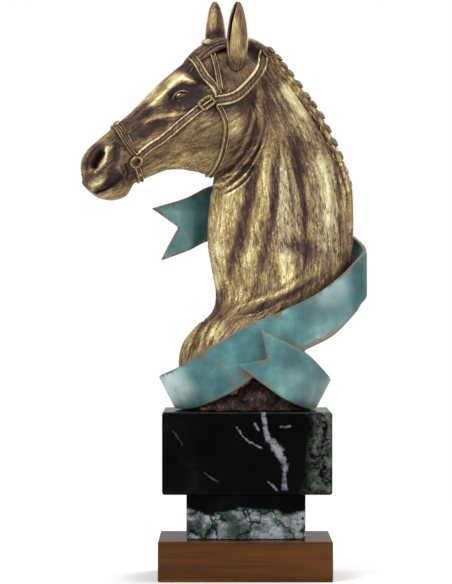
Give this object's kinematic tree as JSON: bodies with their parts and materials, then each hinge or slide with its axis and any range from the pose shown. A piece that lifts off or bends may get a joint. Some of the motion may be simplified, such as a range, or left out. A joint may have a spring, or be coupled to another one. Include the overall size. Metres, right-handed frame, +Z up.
{
  "type": "horse trophy",
  "caption": "Cast horse-head bust with bridle and wound banner, on two stacked marble blocks and a wooden foot.",
  "frame": {"origin": "middle of the wooden foot's underside", "axes": "+Z up; the horse looks along -X and turns its face towards -Y, the side that the banner's front tail lies on"},
  "size_m": [0.1819, 0.0901, 0.3691],
  "materials": {
    "antique_gold": "antique gold paint on cast resin, rubbed bright on the ridges and dark brown in the hollows",
    "verdigris_paint": "blue-green patina paint on the banner, worn to brown at its edges",
    "black_marble": "polished black marble with pale veins",
    "clouded_marble": "polished black marble, clouded white in its lower half",
    "walnut": "dark walnut, satin"
  },
  "bodies": {
    "root": {"horse_bust": "antique_gold", "top_block": "black_marble", "neck_block": "clouded_marble", "wood_foot": "walnut"}
  },
  "joints": []
}
